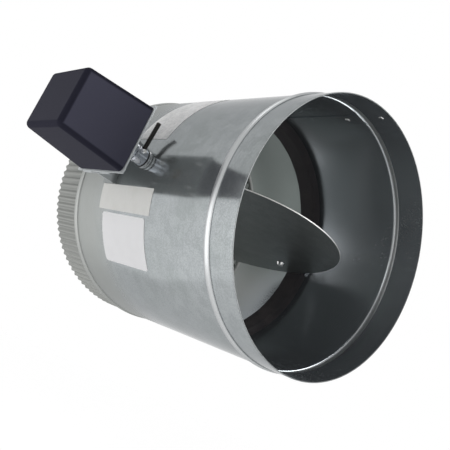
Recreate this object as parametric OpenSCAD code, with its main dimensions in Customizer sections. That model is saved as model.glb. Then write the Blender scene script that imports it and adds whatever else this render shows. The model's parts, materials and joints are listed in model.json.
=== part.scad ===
// Motorized round duct damper: a galvanised duct piece with a butterfly
// blade on a cross shaft, turned by a small gearmotor under a black cover.
// The duct runs along X with its open end at x = 0, facing +X. The shaft
// lies along Y and the motor stands on the -Y side. Z is up. Millimetres.

/* [Duct] */
// Outside diameter of the duct sheet
duct_d = 254; // [200:1:320]
// Thickness of the duct sheet
sheet_t = 0.8; // [0.6:0.1:1.4]
// Distance from the open rim to the shaft
shaft_from_rim = 145; // [140:1:150]
// Distance from the open rim to the middle of the front bead
front_bead_x = 31; // [26:1:40]
// Distance from the open rim to the middle of the rear bead
rear_bead_x = 252.5; // [248:0.5:256]
// Width of a rolled bead along the duct
bead_w = 7; // [5:0.5:9]
// Height of a rolled bead above the sheet
bead_h = 1.8; // [1:0.1:2.5]
// Length of the crimped end behind the rear bead
crimp_len = 44; // [36:1:60]
// Number of crimps round the crimped end
crimp_count = 110; // [60:1:120]
// Depth of a crimp
crimp_depth = 1.7; // [1.2:0.1:2.5]
// Width of the lap seam strip inside the duct
seam_w = 14; // [10:1:20]
// Radius of a seam rivet's head
rivet_r = 2.4; // [2:0.1:3]

/* [Blade and shaft] */
// Diameter of the blade shaft
shaft_d = 12; // [10:0.5:13]
// Thickness of the blade sheet
blade_t = 1; // [0.8:0.1:2]
// Angle of the blade to the duct axis as stored
blade_rest_angle = 7; // [0:1:15]
// Width of the foam seal band along the duct
seal_w = 26; // [25:1:36]
// Thickness of the foam seal band
seal_t = 9.4; // [7:0.1:12]
// Distance of each blade screw from the duct axis
blade_screw_y = 88; // [60:1:88]
// Outside diameter of a shaft bushing where it passes the wall
bush_d = 16; // [15:0.5:17]
// Diameter of a shaft bushing's inner flange
bush_flange_d = 20; // [19:0.5:21]

/* [Coupling] */
// Outside diameter of the coupling collar
collar_d = 16.5; // [16:0.1:18]
// Length of the coupling collar
collar_len = 15; // [14:0.5:17]
// Width of the coupling nut across its flats
nut_flats = 16; // [15:0.5:17]
// Length of the coupling nut
nut_len = 7; // [6:0.5:8]
// Diameter of the stop rod
rod_d = 4.6; // [4:0.1:5]
// Reach of the stop rod from the shaft axis
rod_reach = 36; // [32:1:38]
// Angle of the stop rod to the duct axis as stored
rod_angle = 83; // [70:1:95]

/* [Motor housing] */
// Gap between the duct and the bottom of the cover
cover_gap = 38; // [36:1:44]
// Length of the cover along the duct
cover_x = 76.5; // [76:0.5:84]
// Height of the cover across the duct
cover_z = 63.5; // [63:0.5:70]
// Depth of the cover away from the duct
cover_depth = 65.5; // [62:0.5:75]
// Size of the closed end as a share of the open end
cover_taper_share = 0.867; // [0.86:0.001:0.95]
// Wall of the cover
cover_wall = 2; // [1.6:0.1:2.2]
// Rounding of the cover's edges
cover_round = 5; // [4:0.5:6]
// Thickness of the mounting bracket's sheet
bracket_t = 1.5; // [1.2:0.1:2]
// Width of the bracket's leg across the duct
leg_w = 52; // [44:1:56]
// Length of the bracket's foot along the duct
foot_len = 20; // [18:1:24]
// Number of screws in the bracket's foot
foot_screws = 3; // [2:1:3]

/* [Gear train] */
// Teeth on the output gear
output_teeth = 36; // [36:1:37]
// Teeth on the idler gear
idler_teeth = 32; // [31:1:32]
// Teeth on each pinion
pinion_teeth = 10; // [10:1:11]
// Module of the slow pair
slow_module = 0.9; // [0.88:0.01:0.92]
// Module of the fast pair
fast_module = 0.7; // [0.68:0.01:0.72]
// Face width of the slow pair
slow_face = 6; // [5:0.5:6.5]
// Face width of the fast pair
fast_face = 4; // [3.5:0.1:4.5]
// Diameter of the motor's output shaft
drive_shaft_d = 10; // [9:0.5:10]
// Diameter of the motor can
motor_d = 35; // [32:0.5:35.5]
// Length of the motor can
motor_len = 22; // [18:0.5:26]

/* [Labels] */
// Thickness of a label
label_t = 0.2; // [0.15:0.05:0.3]
// Length of the narrow label along the duct
narrow_label_len = 89; // [80:1:92]
// Height of the narrow label round the duct
narrow_label_h = 25; // [20:1:26]
// Length of the square label along the duct
square_label_len = 75; // [65:1:80]
// Height of the square label round the duct
square_label_h = 51; // [45:1:55]
// Length of the upper label along the duct
upper_label_len = 47; // [40:1:50]
// Height of the upper label round the duct
upper_label_h = 89; // [80:1:95]

/* [Hidden] */

// Fits and cuts
overrun = 1;
running_gap = 0.05;
seat_gap = 0.1;
touch_gap = 0.02;
swing_gap = 0.3;
round_steps = 180;
small_steps = 48;
corner_steps = 32;

// Duct
duct_r = duct_d / 2;
duct_ri = duct_r - sheet_t;
shaft_x = -shaft_from_rim;
crimp_start = rear_bead_x + bead_w / 2;
duct_len = crimp_start + crimp_len;
bead_steps = 8;
crimp_lead = 2.4;
seam_t = sheet_t;
rivet_head_h = 1;
rivet_shank_share = 0.6;
head_top_share = 0.7;
rivet_after_bead = 20;
rivet_before_bead = 19;

// Blade and shaft
shaft_r = shaft_d / 2;
blade_drop = shaft_r + touch_gap + blade_t / 2;
seal_ri = duct_ri - seal_t;
blade_r = sqrt(pow(seal_ri - swing_gap, 2) - pow(blade_drop + blade_t / 2, 2));
bush_flange_t = 2;
bush_inset = 1;
bush_seat = sqrt(pow(duct_ri, 2) - pow(bush_flange_d / 2, 2)) - seat_gap;
bush_proud = 0.6;
seal_hole_d = shaft_d + 2 * swing_gap;
seal_pocket_d = bush_flange_d + 2 * bush_inset;
thrust_t = 1.2;
thrust_y = duct_r + bush_proud + seat_gap;
shaft_far_stub = 10;
shaft_far_y = duct_r + shaft_far_stub;
clip_t = 1.2;
clip_groove_depth = 1;
clip_width = 4;
clip_slot = 9;
clip_y = thrust_y + thrust_t + seat_gap;
screw_d = 5;
screw_head_d = 9.5;
screw_head_h = 2.8;
screw_slot_w = 1.2;
screw_slot_depth = 1.1;
screw_end = 2;
hex_nut_flats = 8;
hex_nut_h = 4;

// Coupling
collar_y = thrust_y + thrust_t + seat_gap;
collar_end_y = collar_y + collar_len;
rod_from_end = 6;
rod_y = collar_y + rod_from_end;
rod_chamfer = 0.6;
collar_chamfer = 0.8;
washer_rim = 0.75;
washer_d = collar_d + 2 * washer_rim;
drive_shaft_grip = 4;
shaft_near_y = collar_end_y - drive_shaft_grip;
nut_y = collar_end_y + seat_gap;
nut_end_y = nut_y + nut_len;
set_screw_d = 4;
set_screw_proud = 1.4;
set_screw_inset = 6.5;
set_screw_y = collar_end_y - set_screw_inset;
set_screw_angles = [25, 140];

// Cover and bracket
cover_y = duct_r + cover_gap;
plate_margin = 1.2;
plate_x = cover_x + 2 * plate_margin;
plate_z = cover_z + 2 * plate_margin;
lip_h = 3.5;
lip_start = 6.5;
lip_len = 46;
lip_slot_len = 16;
lip_slot_w = 1.5;
lip_slot_share = 0.5;
foot_r = duct_r + seat_gap;
foot_angle = asin(leg_w / 2 / (foot_r + bracket_t));
leg_x = shaft_x - plate_x / 2;
lip_x = leg_x + lip_start;
tek_d = 4.2;
tek_hole_d = 4.6;
tek_head_flats = 8;
tek_head_h = 3.6;
tek_washer_d = 10.5;
tek_washer_t = 0.9;
tek_len = 12;
tek_spread_share = 0.66;
tek_place_share = 0.6;
tek_spread = foot_angle * tek_spread_share;
tek_x = leg_x - foot_len * tek_place_share;
boss_d = 6;
boss_inset = 1.9;
boss_len = 20;
boss_bore_d = 2.6;
boss_bore_len = 14;
cover_screw_d = 2.5;
cover_screw_head_d = 5.6;
cover_screw_head_h = 2;
cover_screw_len = 11;
cover_in_x = cover_x / 2 - cover_wall;
cover_in_z = cover_z / 2 - cover_wall;
boss_places = [[-1, 1], [1, -1]];

// Gear train, in layers away from the duct
slow_lift = 5;
layer_gap = 1.5;
slow_y = cover_y + slow_lift;
fast_y = slow_y + slow_face + layer_gap;
plate_y = fast_y + fast_face + layer_gap;
plate_t = 1.5;
motor_y = plate_y + plate_t;
idler_dist = (output_teeth + pinion_teeth) / 2 * slow_module;
motor_dist = (idler_teeth + pinion_teeth) / 2 * fast_module;
motor_angle = 30;
idler_x = shaft_x - idler_dist;
motor_x = idler_x + motor_dist * cos(motor_angle);
motor_z = motor_dist * sin(motor_angle);
arbor_d = 3;
idler_hub_wall = 2;
pinion_overhang = 1;
pinion_shaft_d = 2;
pinion_hole_gap = 1;
motor_ear_r = 21.5;
motor_ear_d = 7;
motor_ear_t = 1;
motor_ear_angle = 0;
motor_bore_share = 0.33;
motor_grip_share = 0.25;
motor_screw_d = 3;
small_head_d = 5.5;
small_head_h = 2;
cam_face = 3.2;
cam_lift = 1;
cam_y = cover_y + cam_lift;
cam_r = 12;
cam_flat = 9.5;
post_d = 5;
post_x1 = 27;
post_x2 = -31;
post_z = 18.5;
post_bore_d = 2.6;
post_screw_d = 2.5;
post_screw_len = 7;
gear_plate_margin = 3.6;
switch_len = 14;
switch_h = 9;
switch_t = 4.2;
switch_gap = 2.2;
switch_reach = 5.4;
switch_x = shaft_x + cam_r + switch_reach;
plunger_d = 2;
terminal_len = 24;
terminal_w = 8.6;
terminal_h = 10;
terminal_poles = 3;
terminal_back = 12;
terminal_inset = 1;
terminal_x = shaft_x - terminal_back;
terminal_z = -cover_in_z + terminal_inset + terminal_w / 2;
terminal_well_share = 0.33;
terminal_screw_d = 4;
grommet_hole_d = 9;
grommet_d = 12;
grommet_bore_d = 6;
grommet_lip = 1.5;
grommet_back = 18;
grommet_inset = 1.5;
grommet_x = shaft_x - grommet_back;
grommet_z = cover_in_z - grommet_inset - grommet_d / 2;
label_gap = 1;
foot_label_gap = 0.2;
narrow_label_back = 14.5;
square_label_back = 13.6;
upper_label_back = 12;
upper_label_angle = 31.5;

// Angle round the duct covered by a length of arc
function arc_angle(len, r) = len / r * 180 / PI;

// Places of the four posts of the gear plate
post_places = [for (px = [post_x1, post_x2], pz = [-post_z, post_z]) [shaft_x + px, pz]];

// Turns a shape made along Z so that it runs from y1 to y2 on the motor side
module toward_motor(x, z, y) {
    translate([x, -y, z]) rotate([90, 0, 0]) children();
}

// A plain round bar along the motor side's direction
module bar(x, z, y1, y2, d) {
    toward_motor(x, z, y1) cylinder(d = d, h = y2 - y1, $fn = small_steps);
}

// A flat slab on the motor side, given by its middle and its size
module slab(x, z, y1, y2, size_x, size_z) {
    translate([x - size_x / 2, -y2, z - size_z / 2]) cube([size_x, y2 - y1, size_z]);
}

// A hexagon bar on the motor side
module hex_bar(x, z, y1, y2, flats) {
    toward_motor(x, z, y1) cylinder(d = flats / cos(30), h = y2 - y1, $fn = 6);
}

// Outline points of a rolled bead, as distance from the rim and lift
function bead_points(mid) = [for (i = [0:bead_steps])
    let (a = 180 * i / bead_steps)
    [mid - bead_w / 2 * cos(a), bead_h * sin(a)]];

sheet_line = concat([[0, 0]], bead_points(front_bead_x), bead_points(rear_bead_x),
    [[crimp_start + crimp_lead, -crimp_depth / 2]]);

// The sheet's wall, turned round the duct axis
module sheet_wall() {
    outer = [for (p = sheet_line) [duct_r + p[1], p[0]]];
    inner = [for (i = [len(sheet_line) - 1:-1:0])
        [duct_ri + sheet_line[i][1], sheet_line[i][0]]];
    rotate([0, -90, 0]) rotate_extrude($fn = round_steps) polygon(concat(outer, inner));
}

// The crimps: a fluted sheet that a plain duct end slides over
crimp_shares = [[0, 0], [0.2, 0], [0.5, 1], [0.7, 1]];
module crimp_ring(r) {
    points = [for (i = [0:crimp_count - 1], s = crimp_shares)
        let (a = (i + s[0]) * 360 / crimp_count, rr = r - s[1] * crimp_depth)
        [rr * cos(a), rr * sin(a)]];
    polygon(points);
}

module crimped_end() {
    len_x = duct_len - crimp_start - crimp_lead / 2;
    translate([-duct_len, 0, 0]) rotate([0, 90, 0]) linear_extrude(height = len_x)
        difference() {
            crimp_ring(duct_r);
            crimp_ring(duct_ri);
        }
}

module shaft_hole(d) {
    translate([shaft_x, 0, 0]) rotate([90, 0, 0])
        cylinder(d = d, h = duct_d + 2 * overrun, center = true, $fn = small_steps);
}

// Angle of a foot screw from the middle one
function tek_angle(i) = tek_spread * (2 * i - foot_screws + 1) / max(foot_screws - 1, 1);

module foot_holes(d) {
    for (i = [0:foot_screws - 1])
        rotate([-tek_angle(i), 0, 0]) translate([tek_x, 0, 0]) rotate([90, 0, 0])
            cylinder(d = d, h = duct_r + 2 * bracket_t + overrun, $fn = small_steps);
}

// The lap of the sheet: a second thickness inside the duct along its top
module lap_seam() {
    span = arc_angle(seam_w, duct_ri);
    lap_end = shaft_from_rim - seal_w / 2 - seat_gap;
    lap_from = front_bead_x + bead_w / 2;
    rotate([0, -90, 0]) rotate([0, 0, -span / 2])
        translate([0, 0, lap_from]) rotate_extrude(angle = span, $fn = round_steps)
            translate([duct_ri - seam_t, 0]) square([seam_t + sheet_t / 2, lap_end - lap_from]);
}

module duct_shell() {
    color("silver") difference() {
        union() {
            sheet_wall();
            crimped_end();
            lap_seam();
        }
        shaft_hole(bush_d + 2 * seat_gap);
        foot_holes(tek_hole_d);
        rivet_holes();
    }
}

// Each rivet's distance from the rim and how far its shank reaches inside the sheet
rivets = [[front_bead_x - rivet_before_bead, 0], [front_bead_x + rivet_after_bead, seam_t]];
rivet_hole_r = rivet_r * rivet_shank_share;

module rivet_holes() {
    for (v = rivets) translate([-v[0], 0, duct_ri - v[1] - overrun])
        cylinder(r = rivet_hole_r + touch_gap, h = v[1] + sheet_t + 2 * overrun, $fn = small_steps);
}

// Rivets through the sheet's top, with a low head outside and flush inside
module seam_rivets() {
    color("gainsboro") for (v = rivets) translate([-v[0], 0, 0]) {
        translate([0, 0, duct_ri - v[1] + touch_gap])
            cylinder(r = rivet_hole_r, h = v[1] + sheet_t + seat_gap, $fn = small_steps);
        translate([0, 0, duct_r + seat_gap])
            cylinder(r1 = rivet_r, r2 = rivet_r * head_top_share, h = rivet_head_h, $fn = small_steps);
    }
}

module seal_band() {
    outer_r = duct_ri - touch_gap;
    color("#2b2928") difference() {
        translate([shaft_x - seal_w / 2, 0, 0]) rotate([0, 90, 0]) difference() {
            cylinder(r = outer_r, h = seal_w, $fn = round_steps);
            translate([0, 0, -overrun]) cylinder(r = seal_ri, h = seal_w + 2 * overrun, $fn = round_steps);
        }
        shaft_hole(seal_hole_d);
        for (side = [0, 1]) mirror([0, side, 0])
            bar(shaft_x, 0, bush_seat - bush_flange_t - seat_gap, duct_r, seal_pocket_d);
    }
}

// A flanged bushing standing in the wall on the motor side
module bushing() {
    difference() {
        union() {
            bar(shaft_x, 0, bush_seat - bush_flange_t, duct_r + bush_proud, bush_d);
            bar(shaft_x, 0, bush_seat - bush_flange_t, bush_seat, bush_flange_d);
        }
        bar(shaft_x, 0, bush_seat - bush_flange_t - overrun, duct_r + bush_proud + overrun,
            shaft_d + 2 * running_gap);
    }
}

module near_bushing() {
    color("gainsboro") bushing();
}

module far_bushing() {
    color("gainsboro") mirror([0, 1, 0]) bushing();
}

// Draws its children in the blade's own plane, turned about the shaft
module in_blade_frame() {
    translate([shaft_x, 0, 0]) rotate([0, -blade_rest_angle, 0]) children();
}

// Draws its children at both blade screws
module at_blade_screws() {
    for (side = [-1, 1]) in_blade_frame() translate([0, side * blade_screw_y, 0]) children();
}

module blade() {
    color("slategray") difference() {
        in_blade_frame() translate([0, 0, -blade_drop - blade_t / 2])
            cylinder(r = blade_r, h = blade_t, $fn = round_steps);
        at_blade_screws() translate([0, 0, -blade_drop - blade_t])
            cylinder(d = screw_d + 2 * running_gap, h = 2 * blade_t, $fn = small_steps);
    }
}

module blade_shaft() {
    color("lightgray") difference() {
        bar(shaft_x, 0, -shaft_far_y, shaft_near_y, shaft_d);
        at_blade_screws() translate([0, 0, -shaft_d])
            cylinder(d = screw_d + 2 * running_gap, h = 2 * shaft_d, $fn = small_steps);
        difference() {
            bar(shaft_x, 0, -clip_y - clip_t - running_gap, -clip_y + running_gap, shaft_d + overrun);
            bar(shaft_x, 0, -clip_y - 2 * clip_t, -clip_y + clip_t, shaft_d - 2 * clip_groove_depth);
        }
    }
}

module blade_screws() {
    head_z = -blade_drop - blade_t / 2 - touch_gap;
    tip_z = shaft_r + hex_nut_h + screw_end;
    color("white") at_blade_screws() difference() {
        union() {
            translate([0, 0, head_z]) cylinder(d = screw_d, h = tip_z - head_z, $fn = small_steps);
            translate([0, 0, head_z - screw_head_h])
                cylinder(d1 = screw_head_d * head_top_share, d2 = screw_head_d,
                    h = screw_head_h, $fn = small_steps);
        }
        translate([-screw_head_d, -screw_slot_w / 2, head_z - screw_head_h - overrun])
            cube([2 * screw_head_d, screw_slot_w, screw_slot_depth + overrun]);
    }
}

module blade_nuts() {
    color("gainsboro") at_blade_screws() translate([0, 0, shaft_r + touch_gap]) difference() {
        cylinder(d = hex_nut_flats / cos(30), h = hex_nut_h, $fn = 6);
        translate([0, 0, -overrun])
            cylinder(d = screw_d + 2 * touch_gap, h = hex_nut_h + 2 * overrun, $fn = small_steps);
    }
}

// A plain washer round the shaft
module washer(y1, t, d) {
    difference() {
        bar(shaft_x, 0, y1, y1 + t, d);
        bar(shaft_x, 0, y1 - overrun, y1 + t + overrun, shaft_d + 2 * running_gap);
    }
}

module thrust_washer() {
    color("white") washer(thrust_y, thrust_t, washer_d);
}

module far_washer() {
    color("gainsboro") mirror([0, 1, 0]) washer(thrust_y, thrust_t, washer_d);
}

// An open ring snapped into the shaft's groove
module retaining_clip() {
    groove_d = shaft_d - 2 * clip_groove_depth;
    color("dimgray") mirror([0, 1, 0]) difference() {
        bar(shaft_x, 0, clip_y, clip_y + clip_t, shaft_d + clip_width);
        bar(shaft_x, 0, clip_y - overrun, clip_y + clip_t + overrun, groove_d + 2 * running_gap);
        slab(shaft_x, -shaft_r - clip_width / 2, clip_y - overrun, clip_y + clip_t + overrun,
            clip_slot, shaft_d);
    }
}

// Draws its children with their Z turned into the stop rod's direction
module along_rod() {
    translate([shaft_x, -rod_y, 0]) rotate([0, 90 - rod_angle, 0]) children();
}

// Draws its children at each set screw, pointing out of the collar
module at_set_screws() {
    for (a = set_screw_angles)
        translate([shaft_x, -set_screw_y, 0]) rotate([0, 90 - a, 0]) children();
}

module coupling_collar() {
    color("whitesmoke") difference() {
        union() {
            bar(shaft_x, 0, collar_y + collar_chamfer, collar_end_y, collar_d);
            toward_motor(shaft_x, 0, collar_y) cylinder(d1 = collar_d - 2 * collar_chamfer,
                d2 = collar_d, h = collar_chamfer, $fn = small_steps);
        }
        bar(shaft_x, 0, collar_y - overrun, shaft_near_y, shaft_d + 2 * touch_gap);
        bar(shaft_x, 0, shaft_near_y - overrun, collar_end_y + overrun,
            drive_shaft_d + 2 * touch_gap);
        along_rod() cylinder(d = rod_d + 2 * touch_gap, h = collar_d, $fn = small_steps);
        at_set_screws() cylinder(d = set_screw_d + 2 * touch_gap, h = collar_d, $fn = small_steps);
    }
}

module coupling_nut() {
    color("gainsboro") difference() {
        hex_bar(shaft_x, 0, nut_y, nut_end_y, nut_flats);
        bar(shaft_x, 0, nut_y - overrun, nut_end_y + overrun, drive_shaft_d + 2 * touch_gap);
    }
}

module collar_set_screws() {
    reach = collar_d / 2 + set_screw_proud;
    color("dimgray") at_set_screws() difference() {
        translate([0, 0, shaft_r + seat_gap])
            cylinder(d = set_screw_d, h = reach - shaft_r - seat_gap, $fn = small_steps);
        translate([0, 0, reach - screw_slot_depth])
            cylinder(d = set_screw_d / 2, h = screw_slot_depth + overrun, $fn = 6);
    }
}

module stop_rod() {
    start = shaft_r + seat_gap;
    color("#1c1c1c") along_rod() {
        translate([0, 0, start])
            cylinder(d = rod_d, h = rod_reach - rod_chamfer - start, $fn = small_steps);
        translate([0, 0, rod_reach - rod_chamfer])
            cylinder(d1 = rod_d, d2 = rod_d - 2 * rod_chamfer, h = rod_chamfer, $fn = small_steps);
    }
}

// The folded bracket: a plate under the motor, a leg and a rolled foot
module mounting_bracket() {
    plate_top = cover_y - seat_gap;
    color("lightgray") difference() {
        union() {
            slab(shaft_x, 0, plate_top - bracket_t, plate_top, plate_x, plate_z);
            difference() {
                slab(leg_x + bracket_t / 2, 0, 0, plate_top, bracket_t, leg_w);
                translate([leg_x - overrun, 0, 0]) rotate([0, 90, 0])
                    cylinder(r = foot_r, h = bracket_t + 2 * overrun, $fn = round_steps);
            }
            translate([leg_x - foot_len, 0, 0]) rotate([90, 0, 90]) rotate([0, 0, 180 - foot_angle])
                rotate_extrude(angle = 2 * foot_angle, $fn = round_steps)
                    translate([foot_r, 0]) square([bracket_t, foot_len + bracket_t / 2]);
            translate([lip_x, -plate_top, -plate_z / 2])
                cube([lip_len, bracket_t + lip_h, bracket_t]);
        }
        foot_holes(tek_hole_d);
        bar(shaft_x, 0, plate_top - 2 * bracket_t, plate_top + overrun, output_bush_d + 2 * touch_gap);
        bar(idler_x, 0, plate_top - 2 * bracket_t, plate_top + overrun, arbor_d + 2 * touch_gap);
        for (p = boss_places) bar(boss_x(p), boss_z(p), plate_top - 2 * bracket_t,
            plate_top + overrun, cover_screw_d + 2 * seat_gap);
        for (p = post_places) bar(p[0], p[1], plate_top - 2 * bracket_t, plate_top + overrun,
            post_screw_d + 2 * seat_gap);
        bar(grommet_x, grommet_z, plate_top - 2 * bracket_t, plate_top + overrun, grommet_hole_d);
        lip_slot();
    }
}

// A slot with round ends through the lip
module lip_slot() {
    slot_y = cover_y - bracket_t - lip_h * lip_slot_share;
    straight = lip_slot_len - lip_slot_w;
    translate([lip_x + lip_len / 2, -slot_y, -plate_z / 2 - overrun]) {
        for (side = [-1, 1]) translate([side * straight / 2, 0, 0])
            cylinder(d = lip_slot_w, h = bracket_t + 2 * overrun, $fn = small_steps);
        translate([-straight / 2, -lip_slot_w / 2, 0])
            cube([straight, lip_slot_w, bracket_t + 2 * overrun]);
    }
}

// Self-drilling screws with a washer head, through the foot into the duct
module bracket_screws() {
    seat = foot_r + bracket_t + seat_gap;
    color("gainsboro") for (i = [0:foot_screws - 1])
        rotate([-tek_angle(i), 0, 0]) translate([tek_x, -seat, 0]) rotate([90, 0, 0]) {
            cylinder(d = tek_washer_d, h = tek_washer_t, $fn = small_steps);
            cylinder(d = tek_head_flats / cos(30), h = tek_head_h, $fn = 6);
            translate([0, 0, -tek_len]) cylinder(d = tek_d, h = tek_len, $fn = small_steps);
            translate([0, 0, -tek_len - tek_d])
                cylinder(d1 = touch_gap, d2 = tek_d, h = tek_d, $fn = small_steps);
        }
}

// A drafted cup with round edges, open toward the duct
module cup(size_x, size_z, depth, r) {
    share = 1 - (1 - cover_taper_share) * (depth - r) / cover_depth;
    toward_motor(shaft_x, 0, cover_y) hull()
        for (sx = [-1, 1], sz = [-1, 1]) {
            translate([sx * (size_x / 2 - r), sz * (size_z / 2 - r), 0])
                cylinder(r = r, h = touch_gap, $fn = corner_steps);
            translate([sx * (size_x / 2 * share - r), sz * (size_z / 2 * share - r), depth - r])
                sphere(r = r, $fn = corner_steps);
        }
}

function boss_x(p) = shaft_x + p[0] * (cover_in_x - boss_inset);
function boss_z(p) = p[1] * (cover_in_z - boss_inset);

module cover() {
    color("#35353d") difference() {
        union() {
            difference() {
                cup(cover_x, cover_z, cover_depth, cover_round);
                translate([0, touch_gap, 0]) cup(cover_x - 2 * cover_wall,
                    cover_z - 2 * cover_wall, cover_depth - cover_wall, cover_round - cover_wall);
            }
            intersection() {
                cup(cover_x, cover_z, cover_depth, cover_round);
                for (p = boss_places) bar(boss_x(p), boss_z(p), cover_y, cover_y + boss_len, boss_d);
            }
        }
        for (p = boss_places)
            bar(boss_x(p), boss_z(p), cover_y - overrun, cover_y + boss_bore_len, boss_bore_d);
    }
}

// A pan head screw pointing toward the cover, with its head's seat at y
module pan_screw(x, z, y, d, len, head_d, head_h) {
    bar(x, z, y, y + len, d);
    toward_motor(x, z, y - head_h) cylinder(d1 = head_d * head_top_share, d2 = head_d, h = head_h,
        $fn = small_steps);
}

module cover_screws() {
    color("gainsboro") for (p = boss_places)
        pan_screw(boss_x(p), boss_z(p), cover_y - seat_gap - bracket_t - seat_gap, cover_screw_d,
            cover_screw_len, cover_screw_head_d, cover_screw_head_h);
}

output_bush_wall = 1.5;
output_bush_flange = 3;
output_bush_flange_t = 0.8;
output_bush_d = drive_shaft_d + 2 * output_bush_wall;
output_bush_flange_d = drive_shaft_d + 2 * output_bush_flange;

module output_bushing() {
    plate_top = cover_y - seat_gap;
    flange_top = plate_top + output_bush_flange_t;
    color("goldenrod") difference() {
        union() {
            bar(shaft_x, 0, plate_top - bracket_t - seat_gap, flange_top, output_bush_d);
            bar(shaft_x, 0, plate_top + touch_gap, flange_top, output_bush_flange_d);
        }
        bar(shaft_x, 0, plate_top - 2 * bracket_t, plate_top + 2 * output_bush_flange_t,
            drive_shaft_d + 2 * running_gap);
    }
}

module drive_shaft() {
    color("lightgray") bar(shaft_x, 0, shaft_near_y + seat_gap, plate_y + plate_t, drive_shaft_d);
}

module switch_cam() {
    color("ivory") difference() {
        intersection() {
            bar(shaft_x, 0, cam_y, cam_y + cam_face, 2 * cam_r);
            slab(shaft_x - cam_r + cam_flat, 0, cam_y, cam_y + cam_face, 2 * cam_r, 2 * cam_r);
        }
        bar(shaft_x, 0, cam_y - overrun, cam_y + cam_face + overrun, drive_shaft_d + 2 * touch_gap);
    }
}

// Outline of a gear with straight-flanked teeth, the first tooth on +X
tooth_shares = [[-0.2565, -1.08], [-0.13, 0.9], [0.13, 0.9], [0.2565, -1.08]];
module gear_outline(teeth, m) {
    pitch_r = teeth * m / 2;
    points = [for (i = [0:teeth - 1], s = tooth_shares)
        let (a = (i + s[0]) * 360 / teeth, r = pitch_r + s[1] * m)
        [r * cos(a), r * sin(a)]];
    polygon(points);
}

// A gear wheel on the motor side, turned by an angle in tooth pitches
module gear(x, z, y, face, teeth, m, phase) {
    toward_motor(x, z, y) rotate([0, 0, phase]) linear_extrude(height = face)
        gear_outline(teeth, m);
}

module output_gear() {
    color("ivory") difference() {
        gear(shaft_x, 0, slow_y, slow_face, output_teeth, slow_module, output_phase);
        bar(shaft_x, 0, slow_y - overrun, slow_y + slow_face + overrun, drive_shaft_d + 2 * touch_gap);
    }
}

// Phases that put a tooth of one wheel in a gap of the other on the line of
// centres: the output gear shows a tooth to the idler, and so on up the train
output_phase = 180;
idler_phase = 180 / pinion_teeth;
idler_fast_phase = motor_angle;
motor_phase = motor_angle + 180 + 180 / pinion_teeth;

// The idler: a large wheel over a pinion, moulded as one piece
module idler_gear() {
    color("ivory") difference() {
        union() {
            gear(idler_x, 0, slow_y, slow_face + pinion_overhang, pinion_teeth, slow_module, idler_phase);
            gear(idler_x, 0, fast_y, fast_face, idler_teeth, fast_module, idler_fast_phase);
            bar(idler_x, 0, slow_y + slow_face, fast_y + overrun, arbor_d + 2 * idler_hub_wall);
        }
        bar(idler_x, 0, slow_y - overrun, fast_y + fast_face + overrun, arbor_d + 2 * running_gap);
    }
}

module idler_arbor() {
    color("lightgray") bar(idler_x, 0, cover_y - seat_gap - bracket_t, plate_y + plate_t, arbor_d);
}

module gear_plate() {
    x1 = shaft_x + post_x2 - gear_plate_margin;
    x2 = shaft_x + post_x1 + gear_plate_margin;
    half_z = post_z + gear_plate_margin;
    color("lightgray") difference() {
        slab((x1 + x2) / 2, 0, plate_y, plate_y + plate_t, x2 - x1, 2 * half_z);
        bar(idler_x, 0, plate_y - overrun, plate_y + 2 * plate_t, arbor_d + 2 * touch_gap);
        bar(shaft_x, 0, plate_y - overrun, plate_y + 2 * plate_t, drive_shaft_d + 2 * running_gap);
        bar(motor_x, motor_z, plate_y - overrun, plate_y + 2 * plate_t,
            pinion_shaft_d + 2 * pinion_hole_gap);
        for (p = post_places) bar(p[0], p[1], plate_y - overrun, plate_y + 2 * plate_t,
            post_screw_d + 2 * seat_gap);
        at_motor_ears() cylinder(d = motor_screw_d + 2 * seat_gap, h = 4 * plate_t,
            center = true, $fn = small_steps);
    }
}

module gear_posts() {
    color("silver") for (p = post_places) difference() {
        bar(p[0], p[1], cover_y, plate_y - seat_gap, post_d);
        bar(p[0], p[1], cover_y - overrun, plate_y, post_bore_d);
    }
}

// Screws that hold the posts, from below the bracket and from above the plate
module plate_screws() {
    low_seat = cover_y - seat_gap - bracket_t - seat_gap;
    color("gainsboro") for (p = post_places) {
        pan_screw(p[0], p[1], low_seat, post_screw_d, post_screw_len, small_head_d, small_head_h);
        bar(p[0], p[1], plate_y + plate_t - post_screw_len, plate_y + plate_t + seat_gap, post_screw_d);
        bar(p[0], p[1], plate_y + plate_t + seat_gap, plate_y + plate_t + seat_gap + small_head_h,
            small_head_d);
    }
}

// Draws its children at the motor's two ears, on the gear plate's outer face
module at_motor_ears() {
    for (side = [0, 180])
        toward_motor(motor_x, motor_z, motor_y) rotate([0, 0, motor_ear_angle + side])
            translate([motor_ear_r, 0, 0]) children();
}

module motor_can() {
    seat = motor_y + seat_gap;
    ear_len = motor_ear_r;
    color("silver") difference() {
        union() {
            bar(motor_x, motor_z, seat, seat + motor_len, motor_d);
            at_motor_ears() translate([0, 0, seat_gap])
                cylinder(d = motor_ear_d, h = motor_ear_t, $fn = small_steps);
            for (side = [0, 180])
                toward_motor(motor_x, motor_z, seat) rotate([0, 0, motor_ear_angle + side])
                    translate([0, -motor_ear_d / 2, 0]) cube([ear_len, motor_ear_d, motor_ear_t]);
        }
        bar(motor_x, motor_z, seat - overrun, seat + motor_len * motor_bore_share,
            pinion_shaft_d + 2 * running_gap);
        at_motor_ears() cylinder(d = motor_screw_d + 2 * seat_gap, h = 4 * plate_t,
            center = true, $fn = small_steps);
    }
}

module motor_pinion() {
    color("goldenrod") {
        gear(motor_x, motor_z, fast_y, fast_face, pinion_teeth, fast_module, motor_phase);
        bar(motor_x, motor_z, fast_y, motor_y + motor_len * motor_grip_share, pinion_shaft_d);
    }
}

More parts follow.
